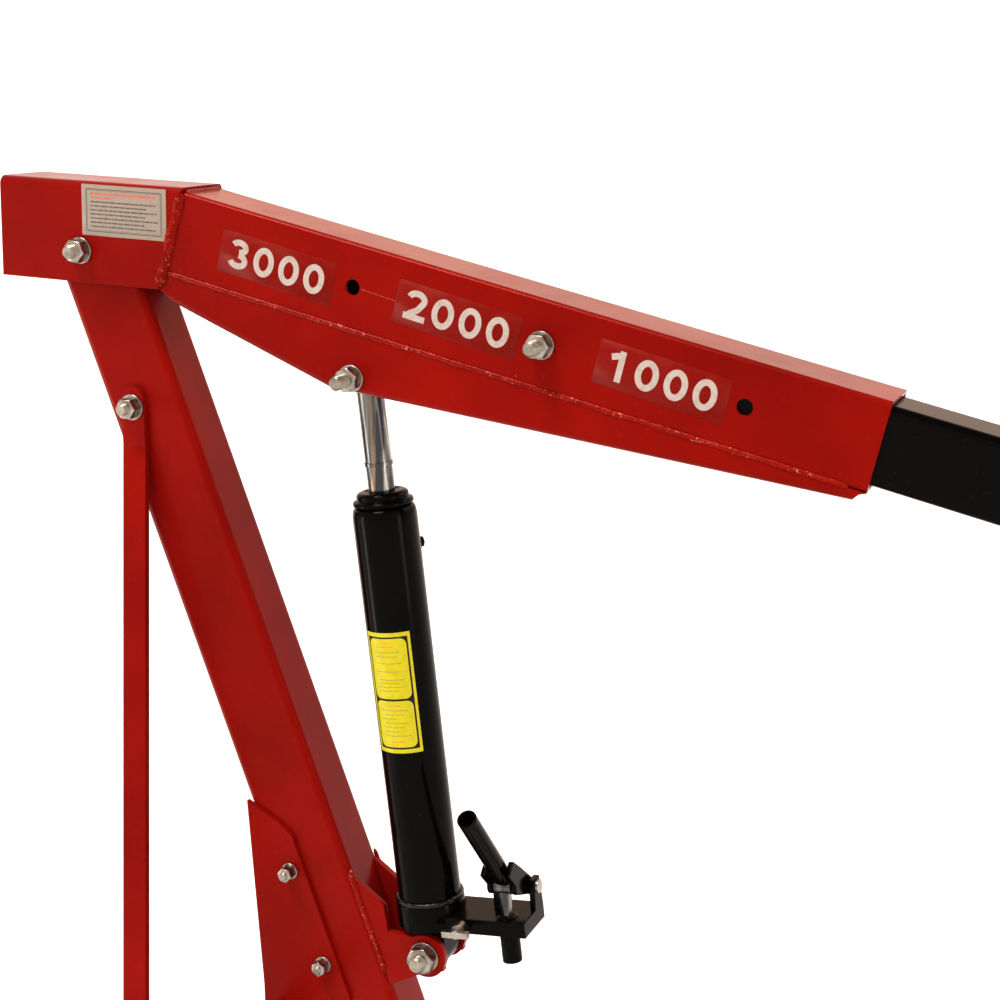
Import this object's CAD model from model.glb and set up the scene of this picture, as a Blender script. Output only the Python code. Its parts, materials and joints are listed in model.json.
import json
import math
import random
from itertools import product

import bmesh
import bpy
from mathutils import Matrix, Vector, noise


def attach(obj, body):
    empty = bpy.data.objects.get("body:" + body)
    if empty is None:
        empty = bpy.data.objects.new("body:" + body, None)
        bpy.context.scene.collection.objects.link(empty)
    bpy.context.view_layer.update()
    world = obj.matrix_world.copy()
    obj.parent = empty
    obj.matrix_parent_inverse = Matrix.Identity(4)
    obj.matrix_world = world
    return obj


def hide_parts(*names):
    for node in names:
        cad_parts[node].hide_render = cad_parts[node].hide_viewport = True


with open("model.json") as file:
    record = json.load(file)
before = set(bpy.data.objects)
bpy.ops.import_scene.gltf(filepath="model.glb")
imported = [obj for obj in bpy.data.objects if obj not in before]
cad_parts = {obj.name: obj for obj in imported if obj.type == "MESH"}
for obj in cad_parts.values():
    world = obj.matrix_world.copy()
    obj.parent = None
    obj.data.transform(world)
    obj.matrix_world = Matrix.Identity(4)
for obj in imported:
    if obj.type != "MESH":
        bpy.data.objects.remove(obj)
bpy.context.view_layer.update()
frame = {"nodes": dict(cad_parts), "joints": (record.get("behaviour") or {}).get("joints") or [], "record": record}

MM = 0.001
AS_DRAWN = Matrix.Identity(4)

# ---- millimetre frames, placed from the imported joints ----


def joint(name):
    """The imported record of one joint."""
    return next(j for j in frame["joints"] if j["name"] == name)


def pitched(origin, degrees):
    """Millimetre frame at a point, with its X axis pitched down by that angle."""
    turn = Matrix.Rotation(math.radians(degrees), 4, "Y")
    return Matrix.Translation(Vector(origin)) @ turn @ Matrix.Scale(MM, 4)


def shifted(place, x=0.0, y=0.0, z=0.0):
    """The same frame moved along its own axes."""
    return place @ Matrix.Translation((x, y, z))


def turned(place, degrees, axis):
    """The same frame turned about one of its own axes."""
    return place @ Matrix.Rotation(math.radians(degrees), 4, axis)


PIVOT_POINT = Vector(joint("boom_lift")["pos_m"])
RAM_POINT = Vector(joint("ram_swing")["pos_m"])
TIP_POINT = Vector(joint("hook_swing")["pos_m"])
BOOM_AXIS = Vector(joint("boom_extend")["axis"])
ROD_AXIS = Vector(joint("rod_slide")["axis"])
WHEEL_AXIS = Vector(joint("spin_mid_left")["axis"])

BOOM_PITCH = math.degrees(math.atan2(-BOOM_AXIS.z, BOOM_AXIS.x))
RAM_LEAN = math.degrees(math.atan2(-ROD_AXIS.x, ROD_AXIS.z))
SPLAY = math.degrees(math.atan2(-WHEEL_AXIS.x, WHEEL_AXIS.y))
HEAD_PITCH = 2.08
MAST_LEAN = 20.3

PIVOT = pitched(PIVOT_POINT, 0)
HEAD = pitched(PIVOT_POINT, HEAD_PITCH)
BOOM = pitched(PIVOT_POINT, BOOM_PITCH)
MAST = pitched(PIVOT_POINT, -MAST_LEAN)
RAM = pitched(RAM_POINT, -RAM_LEAN)
TIP = pitched(TIP_POINT, 0)
GROUND = pitched((0, 0, 0), 0)

# ---- driving sizes of the parts that the looks are fitted to, in millimetres ----

BOOM_HALF = 40.0
BOOM_MID = 49.8
REACH_HOLE = 561.7
HEAD_HALF = 45.0
MAST_HALF = 34.0
RAIL_Z = 161.0
SIDE_Y = 330.0
TURN_X = -569.0
CROSS_X = -258.0
REAR_X = -588.0
TAB_X = -574.0
TAB_Y = 307.0
TAB_Z = 236.0
FOOT_TOP = 203.0
CYLINDER_R = 36.5
RAM_LABEL_Z = 320.5
RAM_LABEL_TURN = 1.5
HOOK_Z = -134.0
LEG_BOLT_X = (-400.0, -182.0)
CASTER_X = (-590.0, -372.0, 788.0)
CASTER_BOLT = 41.0
HANDLE_BOLT_Z = (-760.0, -880.0)


def side(sign):
    """Frame of one splayed side rail, with its origin on the floor where the splay turns."""
    return turned(pitched(Vector((TURN_X, sign * SIDE_Y, 0)) * MM, 0), sign * SPLAY, "Z")


def on_side_face(place, x, y, z, tilt=0.0):
    """Frame lying on a face that looks along -Y: X along the part, Y up, Z out of the face."""
    return turned(turned(shifted(place, x, y, z), 90, "X"), tilt, "Z")


# ---- mesh tools ----


def stand(name, data):
    """Puts a new object with that data into the scene."""
    thing = bpy.data.objects.new(name, data)
    bpy.context.scene.collection.objects.link(thing)
    return thing


def polar(radius, angle, height):
    """Point at a radius and an angle round the Z axis."""
    return Vector((radius * math.cos(angle), radius * math.sin(angle), height))


def turns(count):
    """Evenly spaced angles all the way round."""
    return [math.tau * i / count for i in range(count)]


def finish_piece(name, bm, body, materials, replaces=(), crease=38, place=AS_DRAWN):
    """Turns a drawn mesh into a piece that rides on a body, moved into a frame if one is given."""
    bm.transform(place)
    bmesh.ops.remove_doubles(bm, verts=bm.verts, dist=1e-6)
    bmesh.ops.recalc_face_normals(bm, faces=bm.faces)
    for face in bm.faces:
        face.smooth = True
    for edge in bm.edges:
        edge.smooth = edge.calc_face_angle(0.0) < math.radians(crease)
    mesh = bpy.data.meshes.new(name)
    bm.to_mesh(mesh)
    bm.free()
    for material in materials:
        mesh.materials.append(material)
    piece = stand(name, mesh)
    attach(piece, body)
    if replaces:
        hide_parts(*replaces)
    return piece


def skin(bm, rings, loop=False, tint=0):
    """Joins rings of points into a closed tube. With loop the last ring joins the first."""
    made = [[bm.verts.new(point) for point in ring] for ring in rings]
    pairs = list(zip(made, made[1:]))
    if loop:
        pairs.append((made[-1], made[0]))
    count = len(made[0])
    for low, high in pairs:
        for i in range(count):
            j = (i + 1) % count
            face = bm.faces.new((low[i], low[j], high[j], high[i]))
            face.material_index = tint
    if not loop:
        bm.faces.new(made[0][::-1]).material_index = tint
        bm.faces.new(made[-1]).material_index = tint


def lathe(bm, place, profile, loop=False, sides=48, tint=0):
    """Turns (radius, height) points round the Z axis of place."""
    rings = [[place @ polar(radius, a, height) for a in turns(sides)] for radius, height in profile]
    skin(bm, rings, loop=loop, tint=tint)


def rounded_outline(width, height, corner):
    """Points round a rectangle with round corners, centred on the origin."""
    steps = 5
    points = []
    for quarter in range(4):
        sx = 1 if quarter in (0, 3) else -1
        sy = 1 if quarter in (0, 1) else -1
        for k in range(steps + 1):
            angle = math.radians(90 * quarter + 90 * k / steps)
            x = sx * (width / 2 - corner) + corner * math.cos(angle)
            y = sy * (height / 2 - corner) + corner * math.sin(angle)
            points.append((x, y))
    return points


def slab(bm, place, width, height, thick, corner=1.0, edge=0.0, tint=0):
    """Plate with round corners on the XY plane of place; edge rounds its front rim."""
    rings = []
    for inset, level in ((0, 0), (0, thick - edge), (edge * 0.3, thick - edge * 0.3), (edge, thick)):
        outline = rounded_outline(width - 2 * inset, height - 2 * inset, max(corner - inset, 0.05))
        rings.append([place @ Vector((x, y, level)) for x, y in outline])
    if edge == 0:
        rings = rings[:2]
    skin(bm, rings, tint=tint)


def ring_slab(bm, place, width, height, line, thick, corner):
    """Thin rectangular frame line on the XY plane of place."""
    outer = rounded_outline(width, height, corner)
    inner = rounded_outline(width - 2 * line, height - 2 * line, max(corner - line, 0.05))
    low = [[place @ Vector((x, y, 0)) for x, y in outline] for outline in (outer, inner)]
    high = [[place @ Vector((x, y, thick)) for x, y in outline] for outline in (inner, outer)]
    skin(bm, low + high, loop=True)


def resample(points, step):
    """Evenly spaced points along a polyline, about step apart."""
    points = [Vector(p) for p in points]
    spans = [(b - a).length for a, b in zip(points, points[1:])]
    total = sum(spans)
    count = max(int(total / step), 4)
    made = []
    for k in range(count + 1):
        left = total * k / count
        i = 0
        while i < len(spans) - 1 and left > spans[i]:
            left -= spans[i]
            i += 1
        made.append(points[i].lerp(points[i + 1], min(left / spans[i], 1.0)))
    return made


def weld(bm, place, points, outward, radius, seed, pitch=3.4, height=0.8):
    """Rippled weld bead along a line. outward points away from the joint."""
    path = resample(points, 0.9 if radius < 4 else 1.2)
    outward = Vector(outward).normalized()
    length = sum((b - a).length for a, b in zip(path, path[1:]))
    rings = []
    travelled = 0.0
    for k, point in enumerate(path):
        ahead = path[min(k + 1, len(path) - 1)] - path[max(k - 1, 0)]
        if k:
            travelled += (point - path[k - 1]).length
        along = ahead.normalized()
        across = along.cross(outward).normalized()
        slow = noise.noise(Vector((travelled * 0.045, seed * 7.1, 0.3)))
        quick = noise.noise(Vector((travelled * 0.21, seed * 3.7, 5.1)))
        taper = min(1.0, 0.35 + travelled / (2 * radius), 0.35 + (length - travelled) / (2 * radius))
        wide = radius * taper * (1 + 0.22 * slow + 0.12 * quick)
        centre = point + across * radius * 0.24 * slow
        ring = []
        for angle in turns(12):
            lag = 0.9 * math.cos(angle) ** 2
            phase = (travelled / pitch + lag + 0.6 * slow) % 1.0
            ripple = math.sqrt(max(0.0, 1 - (2 * phase - 1) ** 2))
            reach = wide * (0.83 + 0.19 * ripple)
            lumps = noise.noise(Vector((travelled * 0.3, angle, seed * 1.9)))
            reach *= 1 + 0.09 * lumps
            sideways = across * reach * math.cos(angle)
            ring.append(centre + sideways + outward * reach * height * math.sin(angle))
        rings.append([place @ p for p in ring])
    skin(bm, rings)


def spatter(bm, place, points, outward, spread, count, seed):
    """Small round beads thrown from a weld on to the plate beside it."""
    draw = random.Random(seed)
    outward = Vector(outward).normalized()
    path = resample(points, 4.0)
    for _ in range(count):
        spot = path[draw.randrange(len(path))]
        along = (path[-1] - path[0]).normalized()
        across = along.cross(outward).normalized()
        shift = draw.uniform(-1, 1)
        spot = spot + across * spread * shift * abs(shift) + along * draw.uniform(-3, 3)
        size = draw.uniform(0.35, 0.95)
        ball = place @ Matrix.Translation(spot - outward * size * 0.3) @ Matrix.Scale(size, 4)
        bmesh.ops.create_icosphere(bm, subdivisions=1, radius=1.0, matrix=ball)


# ---- fasteners ----


def hex_radius(flats, angle):
    """Distance from the middle to the side of a hexagon at an angle."""
    sector = math.radians(60)
    return flats / 2 / math.cos((angle + sector / 2) % sector - sector / 2)


def hex_body(bm, place, flats, low, high, twist, low_chamfer=True, sides=72):
    """Hexagon with the turned chamfer of a real nut or bolt head, along Z."""
    chamfer = math.tan(math.radians(30))
    face_r = flats / 2 * 0.93
    drop = (flats / math.sqrt(3) - face_r) * chamfer
    steps = [drop * k / 6 for k in range(7)]
    levels = [(high - s, face_r + s / chamfer) for s in steps]
    if low_chamfer:
        bottom = [(low + s, face_r + s / chamfer) for s in steps]
    else:
        bottom = [(low, flats)]
    rings = []
    for level, limit in bottom + levels[::-1]:
        radii = [(min(hex_radius(flats, a), limit), a) for a in turns(sides)]
        rings.append([place @ polar(radius, a + twist, level) for radius, a in radii])
    skin(bm, rings)


def washer(bm, place, outer, inner, low, thick):
    """Flat washer with stamped, slightly rounded rims."""
    soft = 0.45
    profile = [
        (inner, low), (outer - soft, low), (outer, low + soft), (outer, low + thick - soft),
        (outer - soft, low + thick), (inner + soft, low + thick), (inner, low + thick - soft),
    ]
    lathe(bm, place, profile, loop=True, sides=56)


def threaded_end(bm, place, radius, low, high, pitch, sides=30, tint=0):
    """Screw thread with a chamfered point, as one helical surface."""
    core = radius - 0.6 * pitch
    rings = []
    count = int((high - low) / pitch * 6)
    for k in range(count + 1):
        level = low + (high - low) * k / count
        ring = []
        for i in range(sides):
            angle = math.tau * i / sides
            phase = (level / pitch - i / sides) % 1.0
            tooth = min(1.0, max(0.0, 1.35 * (1 - abs(2 * phase - 1)) - 0.12))
            reach = core + (radius - core) * tooth
            reach = min(reach, core * 0.9 + (high - level) * 0.9)
            ring.append(place @ polar(reach, angle, level))
        rings.append(ring)
    skin(bm, rings, tint=tint)


def fastener(
    bm, place, shank, grip, tail, flats, washer_r, nut=13.0, head=10.0, twist=0.3, sides=72
):
    """Bolt with washers, nut and head, drawn along Z with its nut on the +Z side."""
    low, high = grip
    plate = 3.0
    pitch = shank * 0.25
    washer(bm, place, washer_r, shank + 0.4, high, plate)
    washer(bm, place, washer_r, shank + 0.4, low - plate, plate)
    hex_body(bm, place, flats, high + plate, high + plate + nut, twist, sides=sides)
    threaded_end(bm, place, shank, high + 1.0, high + tail, pitch, sides // 2 - 6, tint=1)
    lathe(bm, place, [(shank - 0.1, low - plate), (shank - 0.1, high + 1.2)], sides=30, tint=1)
    flip = turned(place, 180, "X")
    hex_body(bm, flip, flats, plate - low, plate + head - low, twist + 0.5, False, sides=sides)


def finish_bolts(name, bm, body, node):
    """Plated bolts that stand for one CAD node, with yellower threads."""
    finish_piece(name, bm, body, [WHITE_ZINC, YELLOW_ZINC], (node,))


def cross_bolt(name, place, half, tail, shank, flats, washer_r, body, node, twist):
    """A bolt across the machine, with its nut on the -Y side, in place of its CAD node."""
    bm = bmesh.new()
    along = turned(place, 90, "X")
    fastener(bm, along, shank, (-half, half), tail, flats, washer_r, twist=twist)
    finish_bolts(name, bm, body, node)


def inner_facing(place, sign):
    """Frame whose Z points to the inner side of a side rail."""
    return turned(place, 90 * sign, "X")


def leg_bolt_set():
    """Two bolts a side that hold each leg in its rail."""
    bm = bmesh.new()
    for sign in (-1, 1):
        for k, x in enumerate(LEG_BOLT_X):
            spot = inner_facing(shifted(side(sign), x - TURN_X, 0, RAIL_Z), sign)
            fastener(bm, spot, 6, (-35, 35), 26, 19, 12, twist=0.4 * k + 0.2, sides=48)
    finish_bolts("leg_bolt_set", bm, "chassis", "leg_bolts")


def handle_bolt_set():
    """Two bolts that hold the handle plates to the mast."""
    bm = bmesh.new()
    for k, z in enumerate(HANDLE_BOLT_Z):
        spot = turned(shifted(MAST, -20, 0, z), 90, "X")
        fastener(bm, spot, 5, (-40, 40), 20, 16, 10, twist=0.7 * k, sides=48)
    finish_bolts("handle_bolt_set", bm, "chassis", "handle_bolts")


def mast_foot_bolt_set():
    """Four bolts that hold the mast's foot plate to its crossmember."""
    bm = bmesh.new()
    flats, shank, tip_z = 18, 6, 225
    for x, y in product((-38, 38), (-78, 78)):
        spot = shifted(GROUND, CROSS_X + x, y, 0)
        washer(bm, spot, 11, shank + 0.4, FOOT_TOP, 2.5)
        hex_body(bm, spot, flats, FOOT_TOP + 2.5, FOOT_TOP + 11.5, 0.2 + 0.01 * x, sides=48)
        hex_body(bm, spot, flats, RAIL_Z + 14, RAIL_Z + 23, 0.5, sides=48)
        threaded_end(bm, spot, shank, FOOT_TOP + 1, tip_z, 1.5, 22, tint=1)
        lathe(bm, spot, [(shank - 0.1, 160), (shank - 0.1, FOOT_TOP + 1.2)], sides=22, tint=1)
    finish_bolts("mast_foot_bolt_set", bm, "chassis", "mast_foot_bolts")


def brace_foot_bolt_set():
    """Bolts that hold the feet of the braces to their tabs."""
    bm = bmesh.new()
    for sign in (-1, 1):
        place = shifted(GROUND, TAB_X, sign * TAB_Y, TAB_Z)
        inward = inner_facing(place, sign)
        fastener(bm, inward, 7, (-8, 8), 14, 21, 13, nut=9, head=11, twist=0.3 + sign * 0.2, sides=48)
    finish_bolts("brace_foot_bolt_set", bm, "chassis", "brace_foot_bolts")


def caster_bolt_set():
    """Four small bolts up through every caster plate."""
    bm = bmesh.new()
    draw = random.Random(5)
    flats, shank, tip_z, head_z = 10.6, 4, 142, 108.5
    for sign in (-1, 1):
        for x, nut_z in zip(CASTER_X, (126.5, 126.5, 131.5)):
            for i, j in product((-CASTER_BOLT, CASTER_BOLT), repeat=2):
                spot = shifted(side(sign), x - TURN_X + i, j, 0)
                turn = math.radians(30) + draw.uniform(-0.05, 0.05)
                hex_body(bm, spot, flats, nut_z, nut_z + 6.5, turn, sides=36)
                threaded_end(bm, spot, shank, nut_z + 0.5, tip_z, 1.4, 16, tint=1)
                flip = turned(spot, 180, "X")
                hex_body(bm, flip, flats, -head_z - 5.5, -head_z, -turn, False, sides=36)
                lathe(bm, spot, [(shank, head_z + 0.4), (shank, nut_z + 0.6)], sides=16, tint=1)
    finish_bolts("caster_bolt_set", bm, "chassis", "caster_bolts")


# ---- wheels, grips and hook ----


def black_casting(name, bm, body, node, crease):
    """Piece in black paint that stands for one CAD node."""
    finish_piece(name, bm, body, [BLACK_PAINT], (node,), crease)


def wheel_piece(name):
    """Moulded wheel with a rounded tread, a mould line, ribs and a hub."""
    spin = joint("spin_" + name)
    sign = 1 if name.endswith("left") else -1
    place = turned(turned(pitched(spin["pos_m"], 0), sign * SPLAY, "Z"), 90, "X")
    half = [
        (6.3, 14.4), (7.0, 15.0), (16.4, 15.0), (17.2, 14.2), (18.4, 9.8), (25.6, 9.4), (27.6, 13.4),
        (29.0, 14.0), (36.6, 14.0), (38.4, 13.3), (40.6, 11.0), (41.8, 8.0), (42.0, 3.0), (42.0, 0.6),
    ]
    profile = half + [(41.6, 0.0)] + [(r, -z) for r, z in reversed(half)]
    bm = bmesh.new()
    lathe(bm, place, profile, loop=True, sides=96)
    for k in range(6):
        for face in (-1, 1):
            rib = turned(place, k * 60 + 15, "Z") @ Matrix.Translation((22.2, 0, face * 9.0))
            rib = rib if face > 0 else turned(rib, 180, "X")
            slab(bm, rib, 9.4, 2.6, 3.2, corner=0.8, edge=0.5)
    body = spin["child"]
    finish_piece("tyre_" + name, bm, body, [NYLON], ("wheel_" + name,), 32)


def grip_sleeves():
    """Ribbed rubber sleeves on the push handle, with closed ends."""
    bm = bmesh.new()
    for sign in (-1, 1):
        place = turned(shifted(MAST, -102, 0, -930), -90 * sign, "X")
        profile = [(14.3, 80.4), (17.2, 80.4), (18.0, 81.4), (18.0, 87.5), (17.2, 89.0)]
        for k in range(14):
            start = 90.5 + k * 7.6
            profile += [(16.6, start), (16.6, start + 1.6), (17.7, start + 2.8), (17.7, start + 6.2)]
        profile += [
            (16.8, 197.5), (18.0, 199.0), (18.0, 206.0), (16.4, 209.0), (12.0, 210.0),
            (3.5, 210.0), (3.5, 205.6), (14.3, 205.6),
        ]
        lathe(bm, place, profile, loop=True, sides=64)
    finish_piece("grip_sleeves", bm, "chassis", [RUBBER], ("handle_grips",), 34)


def forged_hook():
    """Forged hook: tapering bowl, thick back, rounded tip, collar, shank and nut."""
    bm = bmesh.new()
    centre = shifted(TIP, 0, 0, HOOK_Z)
    start_angle, end_angle, mid_radius = 86, 375, 33.6
    rings = []
    steps = 84
    for k in range(steps + 1):
        share = k / steps
        angle = math.radians(start_angle + (end_angle - start_angle) * share)
        belly = math.exp(-((math.degrees(angle) - 255) / 62) ** 2)
        across = 8.6 + 2.6 * belly - 2.2 * max(0.0, share - 0.82) / 0.18
        deep = 9.4 + 4.0 * belly - 2.4 * max(0.0, share - 0.82) / 0.18
        mid = mid_radius + 1.2 * belly
        ring = []
        for turn in turns(28):
            reach = mid + deep * math.cos(turn)
            flank = across * math.sin(turn) * (1 - 0.16 * math.cos(turn))
            ring.append(centre @ Vector((reach * math.cos(angle), flank, reach * math.sin(angle))))
        rings.append(ring)
    tip_angle = math.radians(end_angle)
    for grow, ahead in ((0.86, 2.4), (0.60, 4.2), (0.28, 5.2)):
        ring = []
        for turn in turns(28):
            reach = mid_radius + 7.0 * grow * math.cos(turn)
            flank = 6.4 * grow * math.sin(turn)
            point = Vector((reach * math.cos(tip_angle), flank, reach * math.sin(tip_angle)))
            ring.append(centre @ (point + Vector((-math.sin(tip_angle), 0, math.cos(tip_angle))) * ahead))
        rings.append(ring)
    skin(bm, rings)
    neck = [
        (3.0, 24.5), (7.5, 25.0), (9.6, 28.0), (10.8, 33.0), (11.4, 40.0),
        (12.4, 50.0), (12.9, 53.0), (12.9, 55.0), (8.0, 55.4), (8.0, 82.2),
    ]
    lathe(bm, centre, neck, sides=44)
    hex_body(bm, centre, 20.6, 73.0, 82.0, 0.3, sides=48)
    for face in (-1, 1):
        outline = [(-2, 36), (6, 48), (19, 46.6), (23.6, 44), (25.4, 40), (23.6, 36.8), (20, 35.5)]
        low = [centre @ Vector((x, face * 7.3, z)) for x, z in outline]
        high = [centre @ Vector((x, face * 9.9, z)) for x, z in outline]
        skin(bm, [low, high])
    black_casting("forged_hook", bm, "hook_body", "hook", 34)


# ---- material tools ----


def new_material(name, plain):
    """Principled material whose plain values sit on the shader's own sockets."""
    material = bpy.data.materials.new(name)
    material.use_nodes = True
    shader = material.node_tree.nodes["Principled BSDF"]
    for socket, value in plain.items():
        shader.inputs[socket].default_value = value
    return material, material.node_tree


def textured(material, colour, roughness, normal=None):
    """Links the worked out colour, roughness and normal to the material's shader."""
    shader = material.node_tree.nodes["Principled BSDF"]
    for socket, value in (("Base Color", colour), ("Roughness", roughness), ("Normal", normal)):
        if value is not None:
            material.node_tree.links.new(value, shader.inputs[socket])
    return material


def add(tree, kind, inputs=None, **settings):
    """Adds a node. Inputs are values, or sockets to link from."""
    node = tree.nodes.new(kind)
    for key, value in settings.items():
        setattr(node, key, value)
    for key, value in (inputs or {}).items():
        if isinstance(value, bpy.types.NodeSocket):
            tree.links.new(value, node.inputs[key])
        else:
            node.inputs[key].default_value = value
    return node


def object_point(tree, scale=(1.0, 1.0, 1.0)):
    """Object coordinates, stretched by scale."""
    coords = add(tree, "ShaderNodeTexCoord").outputs["Object"]
    return add(tree, "ShaderNodeMapping", {"Vector": coords, "Scale": scale}).outputs["Vector"]


def noise_of(tree, vector, scale, detail=3.0, rough=0.55):
    """Grey noise from 0 to 1, with its scale in cycles a metre."""
    inputs = {"Vector": vector, "Scale": scale, "Detail": detail, "Roughness": rough}
    return add(tree, "ShaderNodeTexNoise", inputs).outputs["Fac"]


def remap(tree, value, low, high, out_low=0.0, out_high=1.0):
    """Clamped linear remap of a value."""
    inputs = {"Value": value, "From Min": low, "From Max": high, "To Min": out_low, "To Max": out_high}
    return add(tree, "ShaderNodeMapRange", inputs).outputs["Result"]


def blend(tree, factor, first, second):
    """Mix of two colours, each a socket or a plain red, green and blue."""
    inputs = {0: factor}
    for index, value in ((6, first), (7, second)):
        inputs[index] = (*value, 1.0) if isinstance(value, tuple) else value
    return add(tree, "ShaderNodeMix", inputs, data_type="RGBA").outputs[2]


def calc(tree, operation, first, second):
    """One arithmetic step."""
    return add(tree, "ShaderNodeMath", {0: first, 1: second}, operation=operation).outputs[0]


def bump(tree, height, strength, depth, normal=None):
    """Bump from a height in 0 to 1 that is depth metres deep."""
    inputs = {"Height": height, "Strength": strength, "Distance": depth}
    if normal is not None:
        inputs["Normal"] = normal
    return add(tree, "ShaderNodeBump", inputs).outputs["Normal"]


def eased_edges(tree, radius):
    """Rounded normal, and a mask that is 1 on outer and inner edges."""
    soft = add(tree, "ShaderNodeBevel", {"Radius": radius}, samples=4).outputs["Normal"]
    true_normal = add(tree, "ShaderNodeNewGeometry").outputs["Normal"]
    match = add(tree, "ShaderNodeVectorMath", {0: soft, 1: true_normal}, operation="DOT_PRODUCT")
    return soft, remap(tree, match.outputs["Value"], 0.985, 0.75)


def shine(level):
    """Plain shader values of a coating with that much mirror in it."""
    return {"Specular IOR Level": level}


# ---- materials ----


def gloss_paint(name, light, dark, worn, plain, peel=0.07, rough=(0.19, 0.27), edge=0.0014):
    """Sprayed gloss paint: cloudy colour, orange peel, dull smears, worn and dusty edges."""
    material, tree = new_material(name, plain)
    point = object_point(tree)
    soft, rim = eased_edges(tree, edge)
    cloud = noise_of(tree, point, 4.5, 4.0)
    fine = noise_of(tree, point, 130.0, 5.0, 0.7)
    colour = blend(tree, remap(tree, cloud, 0.32, 0.68), dark, light)
    colour = blend(tree, remap(tree, fine, 0.62, 0.82, 0.0, 0.35), colour, worn)
    patches = noise_of(tree, point, 55.0, 4.0, 0.65)
    chipped = calc(tree, "MULTIPLY", rim, remap(tree, patches, 0.62, 0.70))
    colour = blend(tree, chipped, colour, worn)
    smear = noise_of(tree, object_point(tree, (1.0, 1.0, 0.35)), 16.0, 5.0, 0.6)
    dull = remap(tree, smear, 0.3, 0.7, rough[0], rough[1])
    dull = calc(tree, "ADD", dull, calc(tree, "MULTIPLY", chipped, 0.25))
    peel_height = noise_of(tree, point, 330.0, 2.0, 0.4)
    broad = noise_of(tree, point, 22.0, 2.0, 0.5)
    normal = bump(tree, broad, 0.10, 0.0016, soft)
    normal = bump(tree, peel_height, peel, 0.0006, normal)
    normal = bump(tree, calc(tree, "SUBTRACT", 1.0, chipped), 0.25, 0.0002, normal)
    return textured(material, colour, dull, normal)


def weld_paint(name, light, dark, fleck, plain):
    """Paint over a weld: glossy on the ripples, with flecks of bare bright metal."""
    material, tree = new_material(name, plain)
    point = object_point(tree)
    cloud = noise_of(tree, point, 60.0, 4.0, 0.6)
    colour = blend(tree, remap(tree, cloud, 0.35, 0.65), dark, light)
    flecks = remap(tree, noise_of(tree, point, 240.0, 4.0, 0.75), 0.585, 0.67, 0.0, 0.9)
    patch = remap(tree, noise_of(tree, point, 26.0, 3.0), 0.42, 0.58)
    colour = blend(tree, calc(tree, "MULTIPLY", flecks, patch), colour, fleck)
    rough_skin = noise_of(tree, point, 700.0, 4.0, 0.7)
    dull = remap(tree, cloud, 0.3, 0.7, 0.16, 0.34)
    return textured(material, colour, dull, bump(tree, rough_skin, 0.35, 0.0005))


def plated(name, pale, deep, rough, plain):
    """Zinc or steel plating: mottled tint, dimpled surface and duller patches."""
    material, tree = new_material(name, plain)
    point = object_point(tree)
    soft, rim = eased_edges(tree, 0.0008)
    mottle = noise_of(tree, point, 70.0, 4.0, 0.65)
    colour = blend(tree, remap(tree, mottle, 0.35, 0.65), deep, pale)
    grime = remap(tree, noise_of(tree, point, 190.0, 5.0, 0.7), 0.58, 0.75, 0.0, 0.55)
    colour = blend(tree, grime, colour, (0.12, 0.10, 0.08))
    colour = blend(tree, calc(tree, "MULTIPLY", rim, 0.4), colour, pale)
    dull = remap(tree, mottle, 0.3, 0.7, rough[0], rough[1])
    pits = noise_of(tree, point, 900.0, 3.0, 0.6)
    return textured(material, colour, dull, bump(tree, pits, 0.16, 0.0003, soft))


def hard_chrome():
    """Ground and plated rod: bright, with faint turning marks and thin wiped oil."""
    material, tree = new_material("hard_chrome", {"Metallic": 1.0, "Specular IOR Level": 0.5})
    film = noise_of(tree, object_point(tree, (1.0, 1.0, 0.04)), 120.0, 3.0)
    warm = noise_of(tree, object_point(tree, (1.0, 1.0, 0.03)), 61.0, 2.0)
    steel = blend(tree, remap(tree, warm, 0.40, 0.60), (0.15, 0.16, 0.17), (0.21, 0.155, 0.10))
    colour = blend(tree, remap(tree, film, 0.44, 0.60), (0.038, 0.040, 0.044), steel)
    colour = blend(tree, remap(tree, film, 0.62, 0.70), colour, (0.42, 0.40, 0.36))
    dull = remap(tree, film, 0.3, 0.7, 0.16, 0.26)
    rings = noise_of(tree, object_point(tree, (0.05, 0.05, 1.0)), 1500.0, 2.0)
    return textured(material, colour, dull, bump(tree, rings, 0.05, 0.0002))


def moulded(name, light, dark, rough, plain, grain=600.0):
    """Moulded rubber or plastic: fine grain, dusty patches, scuffed edges."""
    material, tree = new_material(name, plain)
    point = object_point(tree)
    soft, rim = eased_edges(tree, 0.0012)
    cloud = noise_of(tree, point, 18.0, 5.0, 0.65)
    colour = blend(tree, remap(tree, cloud, 0.3, 0.7), dark, light)
    worn = remap(tree, noise_of(tree, point, 140.0, 4.0), 0.4, 0.7, 0.0, 0.5)
    colour = blend(tree, calc(tree, "MULTIPLY", rim, worn), colour, (0.22, 0.21, 0.20))
    dull = remap(tree, cloud, 0.3, 0.7, rough[0], rough[1])
    skin_grain = noise_of(tree, point, grain, 4.0, 0.6)
    return textured(material, colour, dull, bump(tree, skin_grain, 0.3, 0.0003, soft))


def printed(name, colour, faded, rough, plain):
    """Printed vinyl: slightly uneven ink, rubbed spots and a soft sheen."""
    material, tree = new_material(name, plain)
    point = object_point(tree)
    ink = noise_of(tree, point, 120.0, 5.0, 0.65)
    mixed = blend(tree, remap(tree, ink, 0.45, 0.8), colour, faded)
    dull = remap(tree, ink, 0.3, 0.7, rough[0], rough[1])
    ripple = noise_of(tree, point, 45.0, 3.0, 0.5)
    return textured(material, mixed, dull, bump(tree, ripple, 0.12, 0.0006))


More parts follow.
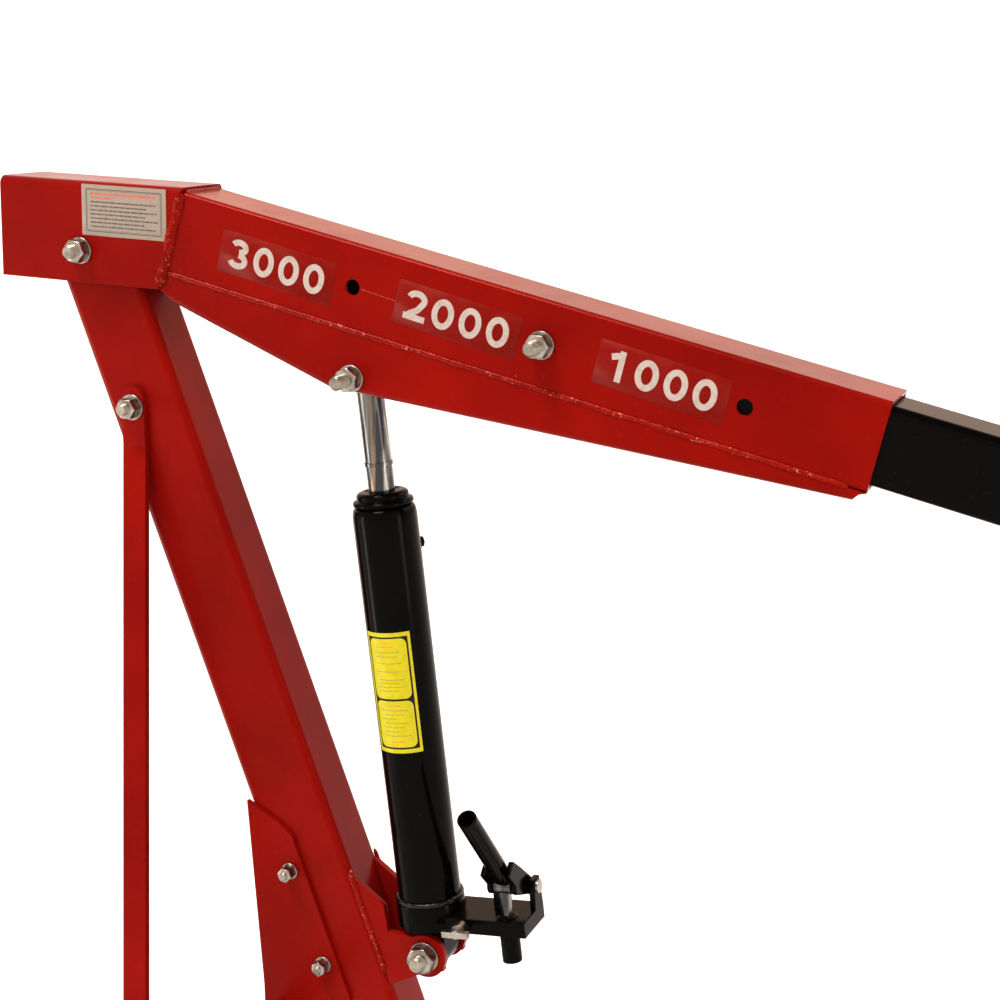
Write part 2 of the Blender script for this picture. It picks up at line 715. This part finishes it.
def clear_film():
    """Clear vinyl over red paint: a dull, milky haze, with trapped air and bright cut edges."""
    plain = {"Specular IOR Level": 0.15, "Specular Tint": FILM_TINT}
    material, tree = new_material("clear_film", plain)
    point = object_point(tree)
    soft, rim = eased_edges(tree, 0.0009)
    haze = noise_of(tree, object_point(tree, (1.0, 1.0, 1.8)), 26.0, 5.0, 0.6)
    clear, milky = (0.140, 0.0034, 0.0024), (0.150, 0.0066, 0.0050)
    colour = blend(tree, remap(tree, haze, 0.36, 0.72), clear, milky)
    air = remap(tree, noise_of(tree, point, 240.0, 4.0, 0.7), 0.62, 0.74, 0.0, 0.45)
    streaks = remap(tree, noise_of(tree, object_point(tree, (0.25, 0.25, 1.0)), 120.0, 3.0), 0.6, 0.75)
    colour = blend(tree, calc(tree, "MULTIPLY", air, streaks), colour, (0.24, 0.07, 0.055))
    lit_edge = calc(tree, "MULTIPLY", rim, remap(tree, haze, 0.45, 0.7, 0.0, 0.4))
    colour = blend(tree, lit_edge, colour, (0.20, 0.045, 0.037))
    dull = remap(tree, haze, 0.3, 0.7, 0.22, 0.42)
    return textured(material, colour, dull, bump(tree, haze, 0.15, 0.0008, soft))


def pale_floor():
    """Plain pale studio floor."""
    material, tree = new_material("pale_floor", {"Specular IOR Level": 0.15})
    cloud = noise_of(tree, object_point(tree), 1.3, 3.0)
    colour = blend(tree, remap(tree, cloud, 0.3, 0.7), (0.80, 0.80, 0.80), (0.82, 0.82, 0.82))
    return textured(material, colour, remap(tree, cloud, 0.3, 0.7, 0.62, 0.7))


RED_TINT = (1.0, 0.10, 0.05, 1.0)
FILM_TINT = (1.0, 0.22, 0.17, 1.0)
RED_LIGHT = (0.188, 0.0034, 0.0018)
RED_DARK = (0.118, 0.0020, 0.0015)
RED_WORN = (0.23, 0.034, 0.024)
BLACK_LIGHT = (0.0010, 0.0010, 0.0010)
BLACK_DARK = (0.0005, 0.0005, 0.0005)
METAL = {"Metallic": 1.0}

RED_PAINT = gloss_paint(
    "red_gloss_paint", RED_LIGHT, RED_DARK, RED_WORN,
    {"Specular IOR Level": 0.13, "Specular Tint": RED_TINT},
)
RED_WELD = weld_paint(
    "red_weld_paint", RED_LIGHT, RED_DARK, (0.56, 0.24, 0.20),
    {"Specular IOR Level": 0.35, "Specular Tint": RED_TINT},
)
BLACK_PAINT = gloss_paint(
    "black_gloss_paint", BLACK_LIGHT, BLACK_DARK, (0.020, 0.019, 0.017),
    shine(0.035), peel=0.04, rough=(0.09, 0.19), edge=0.0028,
)
BLACK_WELD = weld_paint(
    "black_weld_paint", BLACK_LIGHT, BLACK_DARK, (0.09, 0.085, 0.08), shine(0.2)
)
WHITE_ZINC = plated(
    "white_zinc", (0.36, 0.345, 0.315), (0.17, 0.158, 0.138), (0.22, 0.40), METAL
)
YELLOW_ZINC = plated(
    "yellow_zinc", (0.31, 0.295, 0.25), (0.16, 0.147, 0.112), (0.28, 0.45), METAL
)
BARE_STEEL = plated(
    "bare_steel", (0.34, 0.33, 0.31), (0.20, 0.19, 0.18), (0.30, 0.50), METAL
)
CHROME = hard_chrome()
RUBBER = moulded(
    "grip_rubber", (0.018, 0.018, 0.018), (0.009, 0.009, 0.009), (0.62, 0.8), shine(0.25)
)
PLASTIC = moulded(
    "cap_plastic", (0.014, 0.014, 0.015), (0.008, 0.008, 0.009), (0.38, 0.55), shine(0.3)
)
NYLON = moulded(
    "wheel_nylon", (0.026, 0.026, 0.028), (0.013, 0.013, 0.014), (0.36, 0.58), shine(0.3),
    grain=350.0,
)
WHITE_VINYL = printed(
    "white_vinyl", (0.345, 0.315, 0.29), (0.26, 0.205, 0.18), (0.35, 0.5), shine(0.3)
)
CREAM_VINYL = printed(
    "cream_vinyl", (0.235, 0.200, 0.166), (0.200, 0.168, 0.138), (0.3, 0.45), shine(0.3)
)
YELLOW_VINYL = printed(
    "yellow_vinyl", (0.43, 0.405, 0.002), (0.35, 0.315, 0.003), (0.3, 0.45), shine(0.2)
)
GREY_INK = printed(
    "grey_ink", (0.060, 0.056, 0.046), (0.11, 0.100, 0.085), (0.4, 0.55), shine(0.2)
)
RED_INK = printed("red_ink", (0.42, 0.055, 0.035), (0.40, 0.12, 0.08), (0.4, 0.55), {})
BLACK_INK = printed(
    "black_ink", (0.006, 0.006, 0.004), (0.014, 0.013, 0.006), (0.35, 0.5), shine(0.1)
)
ORANGE_INK = printed(
    "orange_ink", (0.52, 0.18, 0.005), (0.50, 0.25, 0.01), (0.35, 0.5), {}
)
OLIVE_INK = printed("olive_ink", (0.20, 0.15, 0.01), (0.32, 0.24, 0.01), (0.35, 0.5), {})
FILM = clear_film()
SCUFFED_RED = printed(
    "scuffed_red", (0.26, 0.045, 0.033), (0.19, 0.012, 0.009), (0.35, 0.5), shine(0.2)
)

SLOT_MATERIALS = {
    "red_paint": RED_PAINT,
    "black_paint": BLACK_PAINT,
    "zinc": WHITE_ZINC,
    "bare_steel": BARE_STEEL,
    "chrome": CHROME,
    "grip_rubber": RUBBER,
    "cap_plastic": PLASTIC,
    "wheel_nylon": NYLON,
}


def repaint(node, material):
    """Gives a CAD node one material."""
    node.data.materials.clear()
    node.data.materials.append(material)


def dress_cad_nodes():
    """Paints every carried-over CAD node in its slot's material, and the filler plug black."""
    for part in frame["record"]["subparts"]:
        node = frame["nodes"].get(part.get("node"))
        if node is not None:
            repaint(node, SLOT_MATERIALS[part["material_slot"]])
    repaint(frame["nodes"]["filler_plug"], BLACK_PAINT)


# ---- decals ----


def arc_points(cx, cy, rx, ry, start, end, steps=20):
    """Points along part of an ellipse, with angles in degrees."""
    made = []
    for k in range(steps + 1):
        angle = math.radians(start + (end - start) * k / steps)
        made.append((cx + rx * math.cos(angle), cy + ry * math.sin(angle)))
    return made


def digit_strokes(digit, width, height, line):
    """Centre lines of one bold sans digit, standing on Y = 0."""
    rx, ry = (width - line) / 2, (height - line) / 2
    middle = height / 2
    if digit == "0":
        return [arc_points(0, middle, rx, ry, 0, 360, 48)]
    if digit == "1":
        stem = [(line * 0.35, 0), (line * 0.35, height)]
        corner = (-line * 0.55, height * 0.80)
        flag = [(line * 0.6, height - line * 0.62), corner, (-line * 1.35, height * 0.735)]
        return [stem, flag]
    if digit == "2":
        bowl = arc_points(0, height * 0.70, rx * 0.94, height * 0.30 - line / 2, 168, -22, 24)
        sweep = bowl + [(rx * 0.30, height * 0.37), (-rx * 0.62, line * 0.9), (-rx * 0.85, line * 0.45)]
        return [sweep, [(-width / 2, line / 2), (width / 2, line / 2)]]
    upper = arc_points(-rx * 0.06, height * 0.735, rx * 0.86, height * 0.265 - line / 2, 160, -88, 24)
    lower = arc_points(-rx * 0.06, height * 0.29, rx * 0.98, height * 0.29 - line / 2, 88, -162, 24)
    return [upper, lower]


def ribbon(bm, points, line, thick):
    """Flat band of even width along a line of points, closed if its ends meet."""
    closed = (Vector(points[0]) - Vector(points[-1])).length < 1e-6
    path = [Vector((x, y, 0)) for x, y in (points[:-1] if closed else points)]
    rings = []
    count = len(path)
    for k, point in enumerate(path):
        before = path[(k - 1) % count] if closed or k else path[0]
        after = path[(k + 1) % count] if closed or k < count - 1 else path[-1]
        along = (after - before).normalized()
        across = Vector((-along.y, along.x, 0)) * line / 2
        lift = Vector((0, 0, thick))
        rings.append([point + across, point - across, point - across + lift, point + across + lift])
    skin(bm, rings, loop=closed)


def numeral_mesh(text, width, height, thick):
    """Bold sans digits as thin flat bands, centred, width by height, in millimetres."""
    bm = bmesh.new()
    line = height * 0.205
    step = width / len(text)
    for k, digit in enumerate(text):
        start = len(bm.verts)
        for j, points in enumerate(digit_strokes(digit, step * 0.80, height, line)):
            ribbon(bm, points, line, thick + 0.02 * j)
        bm.verts.ensure_lookup_table()
        for v in bm.verts[start:]:
            v.co.x += (k - (len(text) - 1) / 2) * step
            v.co.y -= height / 2
    return bm


def boom_numerals(index, text, x, z, width, tilt):
    """One reach rating on the boom: a clear film with white digits on it."""
    place = on_side_face(BOOM, x, -BOOM_HALF + 0.05, z, tilt)
    film = bmesh.new()
    slab(film, AS_DRAWN, width + 17, 47, 0.22, corner=2.0, edge=0.12)
    finish_piece(f"rating_film_{index}", film, "boom", [FILM], place=place)
    digits = numeral_mesh(text, width, 32.5, 0.2)
    lifted = shifted(place, 0, 0.5, 0.2)
    finish_piece(f"rating_digits_{index}", digits, "boom", [WHITE_VINYL], place=lifted)


def print_row(bm, left, right, y, height, level, draw, tint=0):
    """A row of plain dashes that stands in for a line of small print."""
    x = left
    while x < right - 2:
        dash = min(draw.uniform(2.0, 9.0), right - x)
        middle = Matrix.Translation((x + dash / 2, y, level))
        slab(bm, middle, dash, height * draw.uniform(0.8, 1.0), 0.08, corner=height * 0.3, tint=tint)
        x += dash + draw.uniform(0.5, 0.9)


def reach_scratch():
    """Faint rubbed line that the lock bolt has left beside the first reach hole."""
    bm = bmesh.new()
    draw = random.Random(3)
    x = 350.0
    while x < 404:
        dash = draw.uniform(3, 9)
        spot = on_side_face(BOOM, x + dash / 2, -BOOM_HALF + 0.02, 50.5 - (x - 350) * 0.03, -1.5)
        slab(bm, spot, dash, draw.uniform(0.5, 0.9), 0.05, corner=0.2)
        x += dash + draw.uniform(0.2, 2.0)
    finish_piece("reach_scratch", bm, "boom", [SCUFFED_RED])


def head_label():
    """Cream plate label on the head, with a double rule and rows of dashes."""
    width, height = 111.0, 57.0
    place = on_side_face(HEAD, 58.5, -HEAD_HALF + 0.05, 46.5)
    bm = bmesh.new()
    slab(bm, AS_DRAWN, width, height, 0.35, corner=1.2, edge=0.15)
    finish_piece("head_label", bm, "boom", [CREAM_VINYL], place=place)
    ink = bmesh.new()
    left, level = -44, 0.34
    flat = Matrix.Translation((0, 0, level))
    ring_slab(ink, flat, width - 11, height - 9, 0.9, 0.08, 1.0)
    ring_slab(ink, flat, width - 14.4, height - 12.4, 0.35, 0.08, 0.7)
    draw = random.Random(11)
    print_row(ink, left, 42, 18.6, 2.5, level, draw, tint=1)
    print_row(ink, left, -14, 14.0, 1.5, level, draw, tint=1)
    for k in range(7):
        right = 44 - (k % 2) * 14 + draw.uniform(-3, 1)
        print_row(ink, left, right, 9.4 - k * 4.55, 1.7, level, draw)
    finish_piece("head_label_print", ink, "boom", [GREY_INK, RED_INK], place=place)


def wrap_on_cylinder(bm, name, materials):
    """Piece from a flat drawing bent round the ram cylinder: X runs round it, Y along it."""
    for k in range(-14, 15):
        geometry = list(bm.verts) + list(bm.edges) + list(bm.faces)
        bmesh.ops.bisect_plane(bm, geom=geometry, plane_co=(k * 2.0, 0, 0), plane_no=(1, 0, 0))
    for v in bm.verts:
        reach = CYLINDER_R + v.co.z
        angle = math.radians(RAM_LABEL_TURN) + v.co.x / CYLINDER_R
        v.co = Vector((reach * math.sin(angle), -reach * math.cos(angle), RAM_LABEL_Z + v.co.y))
    finish_piece(name, bm, "cylinder", materials, place=RAM)


def ram_label():
    """Yellow label round the ram cylinder: black rule, two panels and rows of dashes."""
    width, height = 57.0, 141.0
    base = bmesh.new()
    slab(base, AS_DRAWN, width, height, 0.3)
    wrap_on_cylinder(base, "ram_label", [YELLOW_VINYL])
    black = bmesh.new()
    slab(black, Matrix.Translation((0, 0, 0.28)), width - 6.4, height - 9.4, 0.07)
    wrap_on_cylinder(black, "ram_label_rule", [BLACK_INK])
    panels = bmesh.new()
    for middle, tall in ((28.7, 70.2), (-36.3, 54.6)):
        slab(panels, Matrix.Translation((0, middle, 0.34)), width - 10.6, tall, 0.07, corner=7.0)
    wrap_on_cylinder(panels, "ram_label_panels", [YELLOW_VINYL])
    ink = bmesh.new()
    draw = random.Random(23)
    print_row(ink, -7, 5, 58.5, 1.6, 0.4, draw, tint=1)
    print_row(ink, -12, 10, 54.5, 1.9, 0.4, draw, tint=1)
    for k, y in enumerate((48, 43, 35, 25.5, 16, 12, 7.5, 3.0)):
        print_row(ink, -17 + (k % 3) * 2, 17 - (k % 2) * 6, y, 1.0, 0.4, draw)
    print_row(ink, -8, 9, -14.5, 2.0, 0.4, draw, tint=1)
    for k, y in enumerate(range(-20, -51, -5)):
        print_row(ink, -16 + (k % 2) * 3, 17 - (k % 3) * 6, y, 1.0, 0.4, draw)
    print_row(ink, -7, 12, -57, 1.9, 0.4, draw, tint=1)
    wrap_on_cylinder(ink, "ram_label_print", [OLIVE_INK, ORANGE_INK])


# ---- ram cylinder ----


def ram_barrel():
    """Painted barrel with a rolled shoulder, a stepped foot and a round-ended base block."""
    bm = bmesh.new()
    lathe(bm, RAM, [
        (28.1, 66.0), (28.1, 529.8), (31.4, 529.8), (33.4, 528.8), (35.0, 526.4),
        (35.9, 523.0), (36.4, 518.4), (CYLINDER_R, 512.0), (CYLINDER_R, 66.0),
    ], loop=True, sides=96)
    lathe(bm, RAM, [
        (2.0, 31.0), (38.6, 31.0), (40.0, 32.4), (40.0, 60.6), (39.2, 62.6),
        (37.4, 63.8), (34.6, 64.0), (34.6, 66.4), (2.0, 66.4),
    ], sides=96)
    half, top, soft = 22, 31.6, 1.0
    shape = [(half, top), (-half, top)] + arc_points(0, 0, half, half, 180, 360)
    rings = []
    for y, inset in ((-half, soft), (soft - half, 0.0), (half - soft, 0.0), (half, soft)):
        scale = 1 - inset / half
        rings.append([RAM @ Vector((x * scale, y, z * scale if z < 0 else z)) for x, z in shape])
    skin(bm, rings)
    black_casting("ram_barrel", bm, "cylinder", "ram_cylinder", 30)


def gland_cap():
    """Screwed gland at the top of the barrel, with a groove, a rounded collar and a wiper."""
    bm = bmesh.new()
    lathe(bm, RAM, [
        (15.35, 530.2), (31.0, 530.2), (31.0, 531.0), (33.2, 531.3), (34.3, 532.4), (34.4, 534.6),
        (33.4, 536.6), (31.2, 537.8), (29.4, 538.2), (29.0, 539.4), (29.6, 540.4), (29.6, 542.0),
        (29.0, 543.8), (27.2, 545.6), (24.4, 546.6), (20.6, 546.9), (19.6, 546.2), (18.6, 545.2),
        (17.4, 545.6), (16.4, 546.6), (15.35, 546.8),
    ], loop=True, sides=96)
    black_casting("gland_cap", bm, "cylinder", "ram_gland", 40)


# ---- welds ----


def finish_welds(name, bm, body, material):
    """Painted weld beads that ride on one body."""
    finish_piece(name, bm, body, [material], crease=60)


def boom_welds():
    """Seams that hold the head, tube and underside channel together."""
    bm = bmesh.new()
    for sign in (-1, 1):
        out = (0, sign, 0)
        flat, sunk, proud = (sign * (BOOM_HALF + lift) for lift in (0.2, -0.5, 1.6))
        weld(bm, BOOM, [(110, sunk, 3.8), (903, sunk, 4.0)], out, 2.7, 3 + sign, height=0.75)
        edge = sign * BOOM_HALF
        spatter(bm, BOOM, [(160, edge, 4.2), (890, edge, 4.2)], out, 9, 70, 5 + sign)
        joint_line = [(x, proud, z) for x, z in ((132.6, 72), (128, 58), (118, 24), (103.0, -33))]
        weld(bm, HEAD, joint_line, (0.8, sign, 0), 6.2, 9 + sign, pitch=4.4, height=0.56)
        spatter(bm, HEAD, [(137, flat, 60), (112, flat, -28)], out, 15, 46, 2 + sign)
    weld(bm, BOOM, [(117.0, -35, 96.6), (117.0, 35, 96.6)], (1, 0, 1), 3.0, 31, pitch=3.6)
    finish_welds("boom_welds", bm, "boom", RED_WELD)


def mast_welds():
    """Seams at the mast's foot, its gussets and the ram bracket."""
    bm = bmesh.new()
    front, back, foot = CROSS_X + 43.4, CROSS_X - 44.4, FOOT_TOP + 1
    for sign in (-1, 1):
        edge = sign * MAST_HALF
        weld(bm, GROUND, [(back, edge, foot), (front, edge, foot)], (0, sign, 1), 4.2, 41 + sign)
        for x, facing, seed in ((CROSS_X + 9.5, -1, 44), (CROSS_X + 18.5, 1, 47)):
            gusset = [(x, sign * 36, foot), (x, sign * 92, foot)]
            weld(bm, GROUND, gusset, (facing, 0, 1), 3.6, seed + sign)
        upright = [(CROSS_X + 18.3, edge, 208), (CROSS_X + 18.3, edge, 330)]
        weld(bm, GROUND, upright, (1, sign, 0), 3.4, 51 + sign)
        weld(bm, MAST, [(53.4, sign * 32.4, -905), (53.4, sign * 32.4, -776)], (1, sign, 0), 3.6, 57 + sign)
    finish_welds("mast_welds", bm, "chassis", RED_WELD)


def base_welds():
    """Seams of the cross tubes, the spine and the brace tabs."""
    bm = bmesh.new()
    flush, upper, lower = RAIL_Z + 30, RAIL_Z + 26, RAIL_Z - 26
    slope = math.tan(math.radians(SPLAY))
    for sign in (-1, 1):
        for x, depth, seed in ((REAR_X, 60, 61), (CROSS_X, 110, 66)):
            inner = sign * (SIDE_Y - 35.2 + (x - TURN_X) * slope)
            low, high = -depth / 2, depth / 2
            low_y, high_y = inner + sign * slope * low, inner + sign * slope * high
            top = [(x + low + 4, low_y, flush), (x + high - 4, high_y, flush)]
            weld(bm, GROUND, top, (0, -sign, 1), 3.6, seed + sign)
            for end, y, facing in ((low, low_y, -1), (high, high_y, 1)):
                upright = [(x + end, y, upper), (x + end, y, lower)]
                weld(bm, GROUND, upright, (facing, -sign, 0), 3.4, seed + 2 + sign + facing)
    for sign in (-1, 1):
        for x, facing in ((REAR_X + 30, 1), (CROSS_X - 55, -1)):
            upright = [(x, sign * 30, upper), (x, sign * 30, lower)]
            weld(bm, GROUND, upright, (facing, sign, 0), 3.4, 74 + sign)
            weld(bm, GROUND, [(x, -26, flush), (x, 26, flush)], (facing, 0, 1), 3.4, 78 + facing)
        for y, facing, seed in ((sign * (TAB_Y + 8.2), sign, 82), (sign * (TAB_Y - 0.2), -sign, 86)):
            foot = [(TAB_X - 24, y, 196.5), (TAB_X + 24, y, 196.5)]
            weld(bm, GROUND, foot, (0, facing, 1), 3.2, seed + sign)
    finish_welds("base_welds", bm, "chassis", RED_WELD)


def ring_weld(bm, place, radius, z, size, seed):
    """Rippled weld bead round a circle about the Z axis of place."""
    rings = []
    for k, turn in enumerate(turns(216)):
        slow = noise.noise(Vector((math.cos(turn) * 2.1, math.sin(turn) * 2.1, seed)))
        phase = (k / 2.6 + slow) % 1.0
        ripple = math.sqrt(max(0.0, 1 - (2 * phase - 1) ** 2))
        reach = size * (0.84 + 0.2 * ripple) * (1 + 0.12 * slow)
        section = [(radius + reach * math.cos(a), z + reach * math.sin(a)) for a in turns(10)]
        rings.append([place @ polar(out, turn, up) for out, up in section])
    skin(bm, rings, loop=True)


def ram_welds():
    """Bead round the foot of the ram cylinder."""
    bm = bmesh.new()
    ring_weld(bm, RAM, CYLINDER_R + 0.8, 64.6, 3.0, 4.4)
    finish_welds("ram_welds", bm, "cylinder", BLACK_WELD)


# ---- camera, light and floor, in metres ----

OBJECT_MIDDLE = Vector((-0.4, 0.0, 1.0))
SOFTBOX_TALL = 1.3
FLOOR_RADIUS = 60.0


def look_camera():
    """Camera at the photograph's viewing angle, set from the boom pivot."""
    data = bpy.data.cameras.new("camera")
    data.lens = 63.55
    data.sensor_width = 36.0
    camera = stand("camera", data)
    azimuth, downward = 22.64, 13.64
    camera.location = PIVOT_POINT + Vector((1.2132, -1.7190, 0.1969))
    camera.rotation_euler = (math.radians(90 - downward), 0, math.radians(azimuth))
    bpy.context.scene.camera = camera


def lamp(name, kind, energy, colour):
    """New light of one kind."""
    light = stand(name, bpy.data.lights.new(name, kind))
    light.data.energy = energy
    light.data.color = colour
    return light


def sun_light(name, towards, angle, strength, colour):
    """Soft distant light that comes from a direction."""
    light = lamp(name, "SUN", strength, colour)
    light.data.angle = math.radians(angle)
    light.location = Vector(towards) * 4
    light.rotation_euler = Vector(towards).to_track_quat("Z", "Y").to_euler()


def softbox(name, spot, width, energy, colour):
    """Tall soft panel that draws a highlight down upright round parts."""
    light = lamp(name, "AREA", energy, colour)
    light.data.shape = "RECTANGLE"
    light.data.size, light.data.size_y = width, SOFTBOX_TALL
    light.location = spot
    aim = OBJECT_MIDDLE - light.location
    light.rotation_euler = aim.to_track_quat("-Z", "Y").to_euler()


def soft_sky():
    """Pale surroundings, warm and bright above the horizon and dimmer overhead."""
    world = bpy.data.worlds.new("studio")
    world.use_nodes = True
    tree = world.node_tree
    towards = add(tree, "ShaderNodeTexCoord").outputs["Generated"]
    height = add(tree, "ShaderNodeSeparateXYZ", {"Vector": towards}).outputs["Z"]
    band = blend(tree, remap(tree, height, 0.06, 0.24), (1.0, 1.0, 1.0), (1.80, 1.22, 0.92))
    colour = blend(tree, remap(tree, height, 0.45, 0.80), band, (0.42, 0.42, 0.42))
    tree.links.new(colour, tree.nodes["Background"].inputs["Color"])
    tree.nodes["Background"].inputs["Strength"].default_value = 1.0
    bpy.context.scene.world = world


def studio():
    """Pale floor, pale surroundings and four soft lights."""
    bm = bmesh.new()
    bmesh.ops.create_circle(bm, cap_ends=True, segments=96, radius=FLOOR_RADIUS)
    mesh = bpy.data.meshes.new("floor")
    bm.to_mesh(mesh)
    bm.free()
    mesh.materials.append(pale_floor())
    floor = stand("floor", mesh)
    soft_sky()
    sun_light("key_sun", (-0.30, -0.46, 1.30), 20.0, 4.2, (1.0, 0.97, 0.92))
    softbox("left_softbox", (-2.7, -1.35, 0.70), 0.30, 16.0, (1.0, 0.97, 0.92))
    softbox("right_softbox", (2.9, -0.75, 1.35), 0.55, 14.0, (1.0, 0.86, 0.74))
    sun_light("fill_sun", (0.9, 0.75, 0.8), 30.0, 0.5, (0.95, 0.98, 1.0))
    bpy.context.scene.view_settings.view_transform = "Standard"


# ---- build ----

look_camera()
studio()
dress_cad_nodes()

# place, half width, tail, shank, flats, washer radius, body, CAD node, twist
cross_bolt("pivot_bolt_set", PIVOT, 45, 26, 8, 24, 15, "boom", "pivot_bolt", 0.35)
cross_bolt("ram_top_bolt_set", shifted(BOOM, 358, 0, -47), 40, 39, 8, 24, 15, "boom", "ram_top_bolt", 0.1)
cross_bolt(
    "reach_lock_bolt_set", shifted(BOOM, REACH_HOLE, 0, BOOM_MID), 40.4, 34, 8, 24, 15,
    "extension", "reach_lock_bolt", 0.75,
)
cross_bolt(
    "brace_top_bolt_set", shifted(PIVOT, 57, 0, -177), 42.3, 24, 7, 22, 15,
    "chassis", "brace_top_bolt", 0.5,
)
cross_bolt("hook_pin_set", TIP, 34, 24, 7, 21, 13, "extension", "hook_pin", 0.2)
cross_bolt("ram_foot_pin_set", RAM, 32, 26, 10, 30, 18, "chassis", "ram_foot_pin", 0.6)

handle_bolt_set()
leg_bolt_set()
mast_foot_bolt_set()
brace_foot_bolt_set()
caster_bolt_set()
for row, hand in product(("rear", "mid", "front"), ("left", "right")):
    wheel_piece(f"{row}_{hand}")
grip_sleeves()
forged_hook()
ram_barrel()
gland_cap()
reach_scratch()

# index, digits, x, z, width, tilt in degrees
boom_numerals(1, "3000", 245.5, 46.5, 126, -1.0)
boom_numerals(2, "2000", 464, 49.5, 128, -1.0)
boom_numerals(3, "1000", 694.5, 50.5, 126, -1.2)
head_label()
ram_label()
boom_welds()
mast_welds()
base_welds()
ram_welds()
